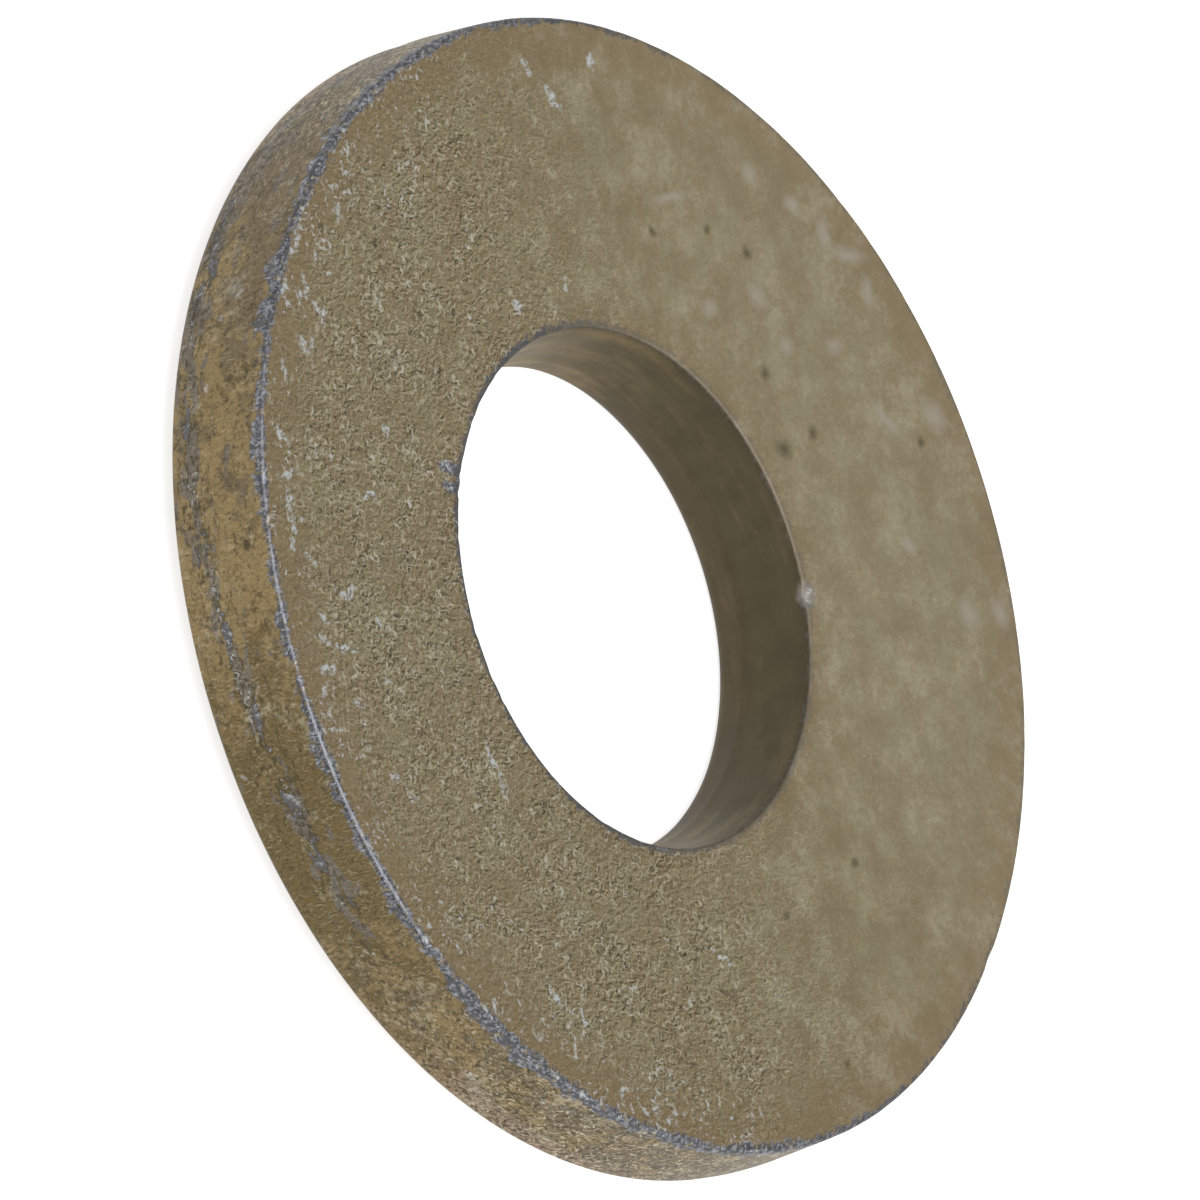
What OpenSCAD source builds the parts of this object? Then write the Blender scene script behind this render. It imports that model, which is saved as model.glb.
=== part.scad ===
/*
Conical spring washer, blanked from thick spring steel sheet and pressed to a shallow cone.
It lies with its hollow face up, on the rolled lower edge of its hole.
The origin is the middle of the circle that it rests on, and +Z is its axis.
All sizes are in millimetres.
*/

/* [Washer] */
// Diameter over the widest circle of the rim
outer_d = 35; // [32:0.5:40]
// Diameter of the sheared wall of the hole, for a 14 mm screw
hole_d = 15; // [12:0.5:18]
// Thickness of the spring steel sheet
sheet_t = 3.5; // [3:0.1:4]
// How far the cone lifts the rim above the edge of the hole
cone_lift = 0.8; // [0.4:0.05:1.2]

/* [Sheared edges] */
// Height of the smooth, sheared wall of the hole, measured up from the lower face
hole_land = 1.2; // [0.9:0.05:2]
// How far the torn wall above it has widened at the hollow face
hole_flare = 0.45; // [0.1:0.05:0.8]
// Height of the torn part of the rim, measured up from the lower face
rim_tear = 1.1; // [0.7:0.05:1.6]
// How far the torn part of the rim draws in at the lower face
rim_draw = 0.04; // [0:0.02:0.3]

/* [Rounded edges] */
// Rounding of the hole's lower edge, where the punch pulled the sheet in
hole_roll_r = 0.5; // [0.2:0.05:0.7]
// Rounding of the rim's lower edge
rim_roll_r = 0.3; // [0.1:0.05:0.5]
// Rounding that wear has left on the two upper edges
worn_r = 0.15; // [0.05:0.05:0.3]

/* [Knocks] */
// Depth at which the knocks beside the hole cut through its upper edge
knock_depth = 0.1; // [0.05:0.05:0.3]

/* [Hidden] */
$fn = 180;
// Straight steps in each rounded edge
arc_steps = 8;
// The knocks: angle round the axis, radius that each one reaches out to, and its width
knocks = [[245, 9, 0.45], [249, 8.7, 0.45], [88, 8.5, 0.9]];

// The section is drawn about its own middle, and leans by the cone's angle
outer_r = outer_d / 2;
hole_r = hole_d / 2;
middle_r = (outer_r + hole_r) / 2;
lean = asin(cone_lift / (outer_r - hole_r));

// A point of the leaned section: along is measured in the sheet's plane, and up across its thickness
function leaned(along, up) = [
    middle_r + along * cos(lean) - up * sin(lean),
    along * sin(lean) + up * cos(lean)
];

// Distance along the sheet at which a layer of it reaches a given radius
function along_at(radius, up) = (radius - middle_r + up * sin(lean)) / cos(lean);

// The point of the hollow face (side 1) or the lower face (side -1) at a given radius
function face_point(radius, side) =
    let (up = side * sheet_t / 2)
    leaned(along_at(radius, up), up);

// The six corners of the section, before they are rounded
rim_along = along_at(outer_r, rim_tear - sheet_t / 2);
rim_top = leaned(rim_along, sheet_t / 2);
rim_line = leaned(rim_along, rim_tear - sheet_t / 2);
rim_foot = face_point(outer_r - rim_draw, -1);
hole_foot = face_point(hole_r, -1);
hole_line = hole_foot + [0, hole_land];
hole_top = face_point(hole_r + hole_flare, 1);

function unit(v) = v / norm(v);

// Middle of the arc that rounds a corner, given the two corners beside it
function arc_middle(before, corner, after, r) =
    let (a = unit(before - corner), b = unit(after - corner), half = acos(a * b) / 2)
    corner + unit(a + b) * r / sin(half);

// The arc itself, from the side that comes in to the side that goes out, going clockwise
function rounded(before, corner, after, r) =
    let (
        middle = arc_middle(before, corner, after, r),
        side = unit(before - corner),
        start = corner + side * ((middle - corner) * side) - middle,
        turn = 180 - acos(side * unit(after - corner))
    )
    [for (i = [0:arc_steps]) middle + turned(start, -turn * i / arc_steps)];

function turned(v, angle) = [
    v.x * cos(angle) - v.y * sin(angle),
    v.x * sin(angle) + v.y * cos(angle)
];

// The section, walked clockwise from the hollow face over the rim to the lower face and up the hole
section = concat(
    rounded(hole_top, rim_top, rim_line, worn_r),
    [rim_line],
    rounded(rim_line, rim_foot, hole_foot, rim_roll_r),
    rounded(rim_foot, hole_foot, hole_line, hole_roll_r),
    [hole_line],
    rounded(hole_line, hole_top, rim_top, worn_r)
);
rest_z = min([for (p = section) p.y]);

// A sloping round groove that starts on the hollow face and runs out through the edge of the hole
module knock(angle, reach, width) {
    rod_r = (width * width / 4 + knock_depth * knock_depth) / (2 * knock_depth);
    start = face_point(reach, 1);
    fall = start - hole_top + [0, knock_depth];
    rotate(angle) rotate([90, 0, 0]) translate(start) rotate(atan2(fall.y, fall.x))
        translate([0, rod_r]) rotate([0, -90, 0]) cylinder(h = 2 * norm(fall), r = rod_r, $fn = 48);
}

module spring_washer() {
    color("#857a58") translate([0, 0, -rest_z]) difference() {
        rotate_extrude() polygon(section);
        for (k = knocks) knock(k[0], k[1], k[2]);
    }
}

spring_washer();
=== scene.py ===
"""Conical spring washer in yellow-passivated zinc, dressed on the frame of its CAD model.

The CAD model sets the sizes. This script adds what CAD leaves out: the fine shape of the sheared
and torn edges, the finish with its wear, and a plain studio at the photograph's viewing angle.
Lengths are in metres, as in the frame, and the patterns of the finish are in millimetres.
"""

import math
from types import SimpleNamespace

import bmesh
import bpy
from bpy.props import FloatProperty, FloatVectorProperty, IntProperty, PointerProperty
from mathutils import Matrix, Vector, noise


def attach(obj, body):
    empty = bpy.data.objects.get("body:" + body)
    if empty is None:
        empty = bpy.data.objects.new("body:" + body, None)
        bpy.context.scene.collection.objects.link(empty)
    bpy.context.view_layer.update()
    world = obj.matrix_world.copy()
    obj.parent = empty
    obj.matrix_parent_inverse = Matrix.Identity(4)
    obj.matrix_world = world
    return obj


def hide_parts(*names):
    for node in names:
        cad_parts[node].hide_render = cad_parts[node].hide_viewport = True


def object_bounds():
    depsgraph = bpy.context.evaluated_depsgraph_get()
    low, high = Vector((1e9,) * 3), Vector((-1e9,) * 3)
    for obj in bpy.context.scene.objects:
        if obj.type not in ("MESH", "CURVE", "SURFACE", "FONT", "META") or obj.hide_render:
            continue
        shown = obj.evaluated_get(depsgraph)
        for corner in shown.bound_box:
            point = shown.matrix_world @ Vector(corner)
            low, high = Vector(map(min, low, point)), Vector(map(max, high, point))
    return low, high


bl_info = {
    "name": "Conical Spring Washer",
    "version": (1, 0, 0),
    "blender": (4, 5, 0),
    "location": "3D View > Sidebar > Washer",
    "description": "Adds a worn, yellow-passivated spring washer and a plain studio round it",
    "category": "Add Mesh",
}

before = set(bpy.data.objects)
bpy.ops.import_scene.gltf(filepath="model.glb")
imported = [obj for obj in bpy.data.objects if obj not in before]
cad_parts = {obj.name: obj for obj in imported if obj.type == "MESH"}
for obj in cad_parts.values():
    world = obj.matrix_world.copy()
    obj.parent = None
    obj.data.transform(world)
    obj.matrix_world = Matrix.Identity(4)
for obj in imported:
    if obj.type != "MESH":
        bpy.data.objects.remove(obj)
cad_low, cad_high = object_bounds()

MM = 0.001
WASHER_NODE = "spring_washer"

# Steps in the arc that rounds each corner of the section
CORNER_STEPS = {"rim_top": 8, "rim_foot": 5, "hole_foot": 6, "hole_top": 6}

# Rows of the mesh from each corner of the section to the next
ROWS_AFTER = {
    "rim_top": 16,
    "rim_line": 8,
    "rim_foot": 8,
    "hole_foot": 4,
    "hole_line": 12,
    "hole_top": 16,
}

# How much of the rim's torn part moves with the ridge above it, how far a point may be inside the
# rim's radius and still lie on its wall, and the shares of the moved part over which the roughness
# sets in and fades away
MOVED_SHARE = 0.8
WALL_SLACK = 0.01 * MM
ROUGH_FROM = 1 / 4
ROUGH_UNTIL = 1 / 6

# Dents that wear or tearing has left, as the size of one and its most depth: two kinds along the
# rim's upper edge, one along the hole's, one on the rim's torn part and one everywhere
COARSE_DENTS = (1.1 * MM, 0.03 * MM)
FINE_DENTS = (0.35 * MM, 0.035 * MM)
HOLE_DENTS = (0.4 * MM, 0.04 * MM)
TORN_DENTS = (0.5 * MM, 0.05 * MM)
UNEVENNESS = (2.5 * MM, 0.012 * MM)

# How far wear reaches from the rim's and from the hole's upper edge
RIM_WEAR_REACH = 0.22 * MM
HOLE_WEAR_REACH = 0.2 * MM

# The rim's wear as a share of its most: its mean round the rim, and how much more there is in front
# and less on the far side
MEAN_WEAR = 0.6
WEAR_SWING = 0.4

# The knocks beside the hole: angle in degrees, radius that each reaches out to, and its width
KNOCKS = (
    (245, 9 * MM, 0.45 * MM),
    (249, 8.7 * MM, 0.45 * MM),
    (88, 8.5 * MM, 0.9 * MM),
)

# Nicks in the rim's upper edge: angle in degrees, width along the edge, and depth
NICKS = (
    (260.5, 0.5 * MM, 0.09 * MM),
    (222, 0.5 * MM, 0.06 * MM),
    (306, 0.6 * MM, 0.07 * MM),
    (334, 0.5 * MM, 0.08 * MM),
    (47, 0.7 * MM, 0.04 * MM),
)

# Marks on the hollow face, seen from above. Each is its two ends, as angle in degrees and radius
# in millimetres, and half its width in millimetres. The first are bare metal, round the knocks.
BARE_MARKS = (
    ((246.4, 9), (244, 8), 0.25),
    ((249.7, 8.7), (248.4, 8), 0.25),
    ((242.5, 8), (251.5, 8), 0.28),
    ((89, 8.05), (87, 8), 0.4),
)
DARK_MARKS = (
    ((116.4, 10.6), (116.8, 10.7), 0.28),
    ((151, 12.6), (151.3, 12.5), 0.2),
    ((142.8, 12.9), (143.2, 12.9), 0.28),
    ((130.5, 10.2), (130, 10.2), 0.3),
    ((107, 15), (107.3, 15.1), 0.22),
    ((118, 9.1), (117, 9.3), 0.4),
    ((162, 11.4), (162.4, 11.5), 0.2),
    ((41, 11.4), (41.4, 11.4), 0.22),
    ((20.3, 10.8), (20.7, 10.8), 0.22),
    ((18, 15.6), (18.4, 15.5), 0.2),
    ((358.5, 12.3), (3, 12.7), 0.12),
    ((269, 14.5), (271.5, 14.5), 0.1),
    ((229.2, 16.3), (229.8, 16.2), 0.16),
)
PALE_MARKS = (
    ((246.8, 9.2), (243.4, 8.4), 0.08),
    ((246.8, 9.2), (244.8, 8.25), 0.08),
    ((249.6, 8.8), (247.1, 8.3), 0.08),
    ((250.1, 8.75), (249.1, 8.2), 0.1),
    ((247, 8.2), (246.2, 8.05), 0.1),
    ((88.6, 8.1), (87.9, 8.1), 0.24),
    ((254, 16.7), (255.5, 16.1), 0.16),
    ((259.5, 16.6), (258, 15.6), 0.15),
    ((260, 16.2), (263, 16.1), 0.2),
    ((263, 16.1), (265.5, 16), 0.13),
    ((266, 16.3), (266.6, 16.2), 0.17),
    ((267, 15.8), (268, 15.2), 0.14),
    ((258.5, 12.8), (257, 11.9), 0.15),
    ((272, 14.4), (270.5, 13.4), 0.15),
    ((273.5, 15.5), (274.5, 15.2), 0.14),
    ((275.5, 16.2), (277, 15.3), 0.15),
    ((277, 15.3), (278.5, 14.1), 0.15),
    ((275.2, 12.8), (275.6, 12.7), 0.17),
    ((279.3, 16.1), (279.7, 15.4), 0.2),
    ((280.7, 16.2), (282, 16.5), 0.16),
    ((283, 16.5), (285, 16.3), 0.08),
    ((283.4, 15), (284.3, 14.8), 0.17),
    ((282.5, 13.2), (283, 13.1), 0.17),
    ((293, 14.7), (293.4, 14.6), 0.15),
    ((295.5, 14.4), (297.5, 14.1), 0.15),
    ((246.3, 11.7), (247, 11.5), 0.17),
    ((232.5, 17), (235.5, 16.9), 0.18),
    ((238.5, 17), (239.5, 16.9), 0.2),
    ((236, 16.5), (238, 15.8), 0.14),
    ((238, 15.8), (238.5, 16.6), 0.12),
    ((238, 15.8), (238, 15.1), 0.14),
    ((238, 15.1), (240, 15), 0.16),
    ((243, 16), (244, 15.5), 0.14),
    ((244, 15.5), (242, 15.2), 0.12),
    ((247, 16.5), (248.5, 16.3), 0.2),
    ((232.5, 16), (234, 15.9), 0.17),
    ((226, 15.9), (226.5, 15.8), 0.2),
    ((246, 14.6), (246.5, 14.2), 0.1),
    ((217, 15), (218.5, 14.3), 0.12),
    ((201, 9), (201.5, 9.3), 0.16),
    ((185.5, 9), (185, 9.3), 0.12),
    ((186, 16.1), (185, 15.6), 0.2),
    ((183, 15.2), (180.5, 14.5), 0.2),
    ((174.5, 16.2), (174, 15.9), 0.2),
    ((318, 16.6), (319, 16.9), 0.14),
    ((321, 16), (322.5, 16), 0.09),
    ((325, 14.5), (328, 14.9), 0.16),
    ((331.5, 14.6), (332.5, 15), 0.16),
    ((339, 16.1), (338, 16.8), 0.16),
    ((342.2, 16.7), (342.6, 16.7), 0.17),
    ((343.7, 16.5), (344.1, 16.5), 0.17),
    ((358.5, 10.9), (4.5, 11.8), 0.1),
    ((299, 9.9), (303.5, 10), 0.18),
    ((303.5, 10), (308.5, 10.3), 0.18),
)

# Soft pale marks on the far half
HAZY_MARKS = (
    ((134.5, 16), (133, 15.6), 0.4),
    ((131.5, 15.6), (128, 16.6), 0.35),
    ((126, 16.1), (124, 15.7), 0.35),
    ((147, 15.3), (146.5, 15.2), 0.45),
    ((140, 15.5), (138.5, 15.6), 0.35),
    ((163, 12.4), (156, 13.2), 0.25),
    ((114.5, 13.7), (109, 14.2), 0.25),
    ((109.5, 16), (108.5, 16.1), 0.6),
    ((124, 13.3), (123.5, 13.5), 0.4),
    ((130, 11.6), (129.5, 11.7), 0.4),
    ((95.5, 13), (95, 13.1), 0.35),
    ((86.5, 15.1), (86, 15.2), 0.6),
    ((87, 16.5), (86, 16.6), 0.5),
    ((139, 12), (138, 12), 0.5),
    ((147, 10.2), (146, 10.4), 0.4),
    ((88.9, 8.05), (87.7, 8.1), 0.45),
)

# Pale marks on the rim: the ends are given as angle and height
RIM_MARKS = (
    ((249, 2.2), (249.4, 2.2), 0.12),
    ((239, 3), (240.3, 2.8), 0.13),
    ((241.7, 2.4), (242, 2.4), 0.13),
    ((289.6, 2.4), (291, 2.8), 0.13),
    ((291.8, 2.2), (292.3, 2.3), 0.14),
    ((295, 2.1), (296, 2.3), 0.1),
    ((287, 1.2), (287.4, 1.3), 0.1),
    ((316, 3.4), (318, 3.3), 0.12),
    ((330.6, 3.2), (333.3, 3), 0.16),
    ((324, 2.1), (324.6, 2.1), 0.22),
    ((315, 3.8), (317.6, 3.5), 0.09),
)

# Sizes of the finish's patterns in millimetres: the patches and streaks of the film, its grain, the
# swelling of the bare band on the rim and the shake of the hand that draws the marks
BROAD_PATCH = 3.5
PATCH = 1.3
SMEAR = 0.7
STREAK = 1.2
FLECK = 0.2
CURL = 0.32
GRAIN = 0.16
SWELL = 1.5
SHAKE = 0.3

# How the grain is scaled along X, Y and Z: where it is scaled down it is drawn out. Sheet has it
# along Y, the rolling direction. Real grain is finer, and is drawn as coarse as it needs to show.
ROLLED_GRAIN = (0.9, 0.6, 0.9)
FIBRES_UP_THE_RIM = (1.0, 1.0, 0.65)
FIBRES_ROUND_THE_RIM = (0.5, 0.5, 1.2)
GRAIN_DEPTH = 0.03 * MM

# Towards the camera, seen from above
NEARER = (0.19, -0.98, 0)

# The middle of the washer, and how far the picture's middle lies from it in the picture's plane
WASHER_MIDDLE = Vector((0, 0, 2.115 * MM))
PICTURE_SHIFT = (-0.09 * MM, -0.07 * MM)

# The floor's own glow to those rays that look at it, the light of the surroundings, and the lamps
FLOOR_GLOW = 0.72
WORLD_LIGHT = 0.5
SOFT_BOX_SIDE = 0.4


def linear(colour):
    """Turns an sRGB hex colour into linear red, green, blue and alpha."""
    channels = [int(colour[i : i + 2], 16) / 255 for i in (1, 3, 5)]
    return (*(c / 12.92 if c <= 0.04045 else ((c + 0.055) / 1.055) ** 2.4 for c in channels), 1.0)


def length(name, description, metres):
    """A setting that is a length."""
    return FloatProperty(name=name, description=description, default=metres, unit="LENGTH")


def rotation(name, description, degrees):
    """A setting that is an angle."""
    return FloatProperty(
        name=name, description=description, default=math.radians(degrees), unit="ROTATION"
    )


def colour(name, description, hex_colour):
    """A setting that is a colour."""
    return FloatVectorProperty(
        name=name, description=description, default=linear(hex_colour), subtype="COLOR", size=4
    )


def factor(name, description, share):
    """A setting that is a share of 1."""
    return FloatProperty(
        name=name, description=description, default=share, min=0, max=1, subtype="FACTOR"
    )


class WasherSizes(bpy.types.PropertyGroup):
    """Sizes of the washer's section, the same as in its CAD source, and of its fine shape."""

    outer_diameter: length(
        "Outer Diameter", "Diameter over the widest circle of the rim", cad_high.x - cad_low.x
    )
    hole_diameter: length("Hole Diameter", "Diameter of the sheared wall of the hole", 15 * MM)
    thickness: length("Thickness", "Thickness of the spring steel sheet", 3.5 * MM)
    cone_lift: length(
        "Cone Lift", "How far the cone lifts the rim above the edge of the hole", 0.8 * MM
    )
    hole_land: length("Hole Land", "Height of the smooth, sheared wall of the hole", 1.2 * MM)
    hole_flare: length(
        "Hole Flare", "How far the torn wall above the land has widened at the hollow face", 0.45 * MM
    )
    rim_tear: length("Rim Tear", "Height of the torn part of the rim", 1.1 * MM)
    rim_draw: length(
        "Rim Draw", "How far the torn part of the rim draws in at the lower face", 0.04 * MM
    )
    hole_roll: length("Hole Roll-over", "Rounding of the hole's lower edge", 0.5 * MM)
    rim_roll: length("Rim Roll-over", "Rounding of the rim's lower edge", 0.3 * MM)
    worn_edge: length("Worn Edge", "Rounding that wear has left on the two upper edges", 0.15 * MM)
    knock_depth: length(
        "Knock Depth", "Depth at which the knocks by the hole cut through its upper edge", 0.1 * MM
    )
    ridge_height: length(
        "Ridge Height", "Mean height of the ridge where the rim's torn part starts", 1.95 * MM
    )
    ridge_wander: length(
        "Ridge Wander", "How far the ridge rises and falls on its way round the rim", 0.6 * MM
    )
    ridge_waves: IntProperty(
        name="Ridge Waves",
        description="How often the ridge rises and falls on its way round the rim",
        default=3,
    )
    ridge_turn: rotation("Ridge Turn", "Turns the ridge's waves round the rim", 6)
    columns: IntProperty(
        name="Columns",
        description="Points round the washer in each row of the mesh",
        default=1000,
    )


class WasherFinish(bpy.types.PropertyGroup):
    """Colours of the passivated zinc, of what shows where it is worn, and of the dirt in it, with
    painted shade and painted highlight in some of them.
    """

    olive: colour("Olive", "Film on the hollow and the lower face", "#8c8060")
    tan: colour("Tan", "Thicker film in patches on the faces", "#877555")
    moss: colour("Moss", "Thinner, greener film in patches on the faces", "#908868")
    # Gold also paints the highlight at both ends of the hole
    gold_and_highlight: colour("Gold", "Film on the front of the rim and at both ends of the hole", "#8a7751")
    umber: colour("Umber", "Film on the rim away from the front, and streaks in the hole", "#74654a")
    bronze: colour("Bronze", "Dark film in patches", "#6b5b39")
    rose: colour("Rose", "Pinkish film on the torn part of the rim, at both ends", "#8c7660")
    smoke: colour("Smoke", "Greyish film along the ridge, and dust on bare zinc there", "#6d6862")
    # The hole's wall is painted darker than its film: painted shade inside the hole
    shade: colour("Shade", "Dull film on the wall of the hole", "#59513c")
    land: colour("Land", "Film on the sheared land of the hole", "#564c38")
    haze: colour("Haze", "Pale, greyish film in soft marks", "#a89f90")
    # Bloom also paints highlight on the lit slopes of the grain and fibres, and light on the far half
    # of the face
    bloom_and_highlight: colour("Bloom", "Pale curls of the film on the high grain", "#bab299")
    slate: colour("Slate", "Bare, oxidised zinc where the film has come off", "#505155")
    rubbed: colour("Rubbed Zinc", "Bright zinc on the crests of the edges", "#a0a1a8")
    scuffed: colour("Scuffed Zinc", "Pale scuffs and scratches", "#c0c4c4")
    # Soot also paints shade on the shaded slopes of the grain and fibres, and the shadow under the
    # hole's upper edge
    soot_and_shade: colour("Soot", "Dirt in the pits", "#463d29")
    metallic: factor("Metallic", "How much of the film's look is the metal under it", 0.7)
    roughness: factor("Roughness", "Roughness of the film and of the bare zinc", 0.55)


class StudioSettings(bpy.types.PropertyGroup):
    """The plain studio: floor, light and the photograph's camera."""

    floor_size: length("Floor Size", "Side of the square floor", 4.0)
    floor_colour: colour("Floor Colour", "Colour of the matt floor", "#e8e8e8")
    focal_length: FloatProperty(
        name="Focal Length", description="Focal length in millimetres on a 36 mm sensor", default=360
    )
    distance: length("Distance", "From the washer's middle to the camera", 356.7 * MM)
    azimuth: rotation("Azimuth", "Turn of the camera and the lamps round the washer's axis", 10.85)
    elevation: rotation("Elevation", "Angle of the camera above the floor", 37.85)
    roll: rotation("Roll", "Turn of the camera about its own axis, as the photograph was held", 72.65)


def add_object(name, data):
    """Adds an object with this mesh, lamp or camera to the scene."""
    item = bpy.data.objects.new(name, data)
    bpy.context.scene.collection.objects.link(item)
    return item


# Shape


def section_corners(sizes):
    """The six corners of the washer's section, before they are rounded, as radius and height.

    They are walked from the hollow face over the rim and the lower face up the hole.
    """
    outer = sizes.outer_diameter / 2
    hole = sizes.hole_diameter / 2
    middle = (outer + hole) / 2
    lean = math.asin(sizes.cone_lift / (outer - hole))
    half = sizes.thickness / 2

    def leaned(along, up):
        return Vector((
            middle + along * math.cos(lean) - up * math.sin(lean),
            along * math.sin(lean) + up * math.cos(lean),
        ))

    def face_point(radius, up):
        return leaned((radius - middle + up * math.sin(lean)) / math.cos(lean), up)

    line = sizes.rim_tear - half
    rim_along = (outer - middle + line * math.sin(lean)) / math.cos(lean)
    hole_foot = face_point(hole, -half)
    return {
        "rim_top": leaned(rim_along, half),
        "rim_line": leaned(rim_along, line),
        "rim_foot": face_point(outer - sizes.rim_draw, -half),
        "hole_foot": hole_foot,
        "hole_line": hole_foot + Vector((0, sizes.hole_land)),
        "hole_top": face_point(hole + sizes.hole_flare, half),
    }


def rounded(before, corner, after, radius, steps):
    """The arc that rounds a corner, from the side that comes in to the side that goes out."""
    side = (before - corner).normalized()
    other = (after - corner).normalized()
    bisector = (side + other).normalized()
    middle = corner + bisector * radius / math.sin(side.angle(other) / 2)
    start = corner + side * (middle - corner).dot(side) - middle
    turn = -(math.pi - side.angle(other)) / steps
    return [middle + Matrix.Rotation(turn * i, 2) @ start for i in range(steps + 1)]


def stretch(start, end, rows):
    """Points between two others, closer together towards both ends."""
    shares = [(1 - math.cos(math.pi * i / rows)) / 2 for i in range(1, rows)]
    return [start.lerp(end, share) for share in shares]


def section(sizes):
    """The rounded section and its six corners, with the section's lowest point at height 0."""
    corner = section_corners(sizes)
    radii = {
        "rim_top": sizes.worn_edge,
        "rim_foot": sizes.rim_roll,
        "hole_foot": sizes.hole_roll,
        "hole_top": sizes.worn_edge,
    }
    names = list(corner)
    arcs = [
        rounded(corner[before], corner[name], corner[after], radii[name], CORNER_STEPS[name])
        if name in radii
        else [corner[name]]
        for before, name, after in zip(names[-1:] + names, names, names[1:] + names)
    ]
    rows = []
    for name, arc, following in zip(names, arcs, arcs[1:] + arcs):
        rows += arc + stretch(arc[-1], following[0], ROWS_AFTER[name])
    drop = Vector((0, min(row.y for row in rows)))
    return [row - drop for row in rows], {name: point - drop for name, point in corner.items()}


def turn_from(degrees, angle):
    """The turn from a mark's angle in degrees to an angle in radians, the shorter way round."""
    return (angle - math.radians(degrees) + math.pi) % math.tau - math.pi


def fall_off(distance, reach):
    """1 at no distance, a third at this reach and nothing far beyond it."""
    return math.exp(-((distance / reach) ** 2))


def dents(place, kind):
    """The depth of one kind of dents at a place. Half of the surface is left without."""
    size, depth = kind
    return depth * max(0.0, noise.noise(place / size))


def waves(place, kind):
    """The depth of one kind of dents at a place, where they leave no surface between them."""
    size, depth = kind
    return depth * (0.5 + 0.5 * noise.noise(place / size))


def knocked(sizes, radius, angle):
    """How deep the knocks have cut below the hollow face at one place."""
    edge = sizes.hole_diameter / 2 + sizes.hole_flare
    deepest = 0.0
    for degrees, reach, width in KNOCKS:
        bend = (width**2 / 4 + sizes.knock_depth**2) / (2 * sizes.knock_depth)
        turn = turn_from(degrees, angle)
        across = radius * math.sin(turn)
        slope = sizes.knock_depth * (reach - radius) / (reach - edge)
        if abs(turn) < math.pi / 4:
            deepest = max(deepest, slope - across**2 / (2 * bend))
    return deepest


def rim_wear(angle, place, from_edge):
    """How far wear has cut back the rim's upper edge at one place."""
    depth = dents(place, COARSE_DENTS) + dents(place, FINE_DENTS)
    depth *= MEAN_WEAR - WEAR_SWING * math.sin(angle)
    for degrees, width, nick_depth in NICKS:
        depth += nick_depth * fall_off(turn_from(degrees, angle) * place.length, width / 2)
    return depth * fall_off(from_edge, RIM_WEAR_REACH)


def moved_with_ridge(sizes, corner, radius, height, angle):
    """A point of the rim, moved so that the ridge where its torn part starts rises and falls.

    Returns its radius and height, and how rough the tear has left it, from 0 to 1.
    """
    edge, line = corner["rim_top"], corner["rim_line"]
    foot = line.y - MOVED_SHARE * (sizes.rim_tear - sizes.rim_roll)
    if radius < edge.x - WALL_SLACK or not foot < height < edge.y - sizes.worn_edge:
        return radius, height, 0.0

    def wall_radius(at):
        leaned = line.x + (edge.x - line.x) * (at - line.y) / (edge.y - line.y)
        return min(sizes.outer_diameter / 2, leaned)

    phase = sizes.ridge_waves * angle + sizes.ridge_turn
    ridge = sizes.ridge_height - sizes.ridge_wander * math.cos(phase)
    if height >= line.y:
        share = (height - line.y) / (edge.y - line.y)
        height = ridge + share * (edge.y - ridge)
        return wall_radius(height), height, 0.0
    share = (height - foot) / (line.y - foot)
    rough = min(1.0, share / ROUGH_FROM, (1 - share) / ROUGH_UNTIL)
    radius += share * (wall_radius(ridge) - line.x)
    return radius, foot + share * (ridge - foot), rough


def add_washer_mesh(sizes):
    """The washer as a ring of columns, each its section with the wear at that angle."""
    rows, corner = section(sizes)
    rim_edge, hole_edge = corner["rim_top"], corner["hole_top"]
    inward = (hole_edge - rim_edge).normalized()
    up = Vector((inward.y, -inward.x))
    normals = [
        Vector((-(after - before).y, (after - before).x)).normalized()
        for before, after in zip(rows[-1:] + rows, rows[1:] + rows[:1])
    ]
    mesh = bmesh.new()
    columns = []
    for step in range(sizes.columns):
        angle = math.tau * step / sizes.columns
        outward = Vector((math.cos(angle), math.sin(angle), 0))
        column = []
        for row, normal in zip(rows, normals):
            radius, height, rough = moved_with_ridge(sizes, corner, *row, angle)
            point = Vector((radius, height))
            place = outward * radius + Vector((0, 0, height))
            cut = rim_wear(angle, place, (point - rim_edge).length)
            cut += rough * waves(place, TORN_DENTS) + waves(place, UNEVENNESS)
            cut += fall_off((point - hole_edge).length, HOLE_WEAR_REACH) * dents(place, HOLE_DENTS)
            point -= normal * cut
            sunk = knocked(sizes, radius, angle) - (hole_edge - point).dot(up)
            point -= up * max(0.0, sunk)
            column.append(mesh.verts.new(outward * point.x + Vector((0, 0, max(0.0, point.y)))))
        columns.append(column)
    for column, following in zip(columns, columns[1:] + columns[:1]):
        for i in range(len(rows)):
            j = (i + 1) % len(rows)
            mesh.faces.new((column[i], column[j], following[j], following[i])).smooth = True
    bmesh.ops.recalc_face_normals(mesh, faces=mesh.faces)
    data = bpy.data.meshes.new("spring_washer_surface")
    mesh.to_mesh(data)
    mesh.free()
    return add_object("spring_washer_surface", data)


# Finish


def empty_nodes(owner):
    """The node tree of a material or of the world, with nothing in it yet."""
    owner.use_nodes = True
    owner.node_tree.nodes.clear()
    return owner.node_tree


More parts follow.
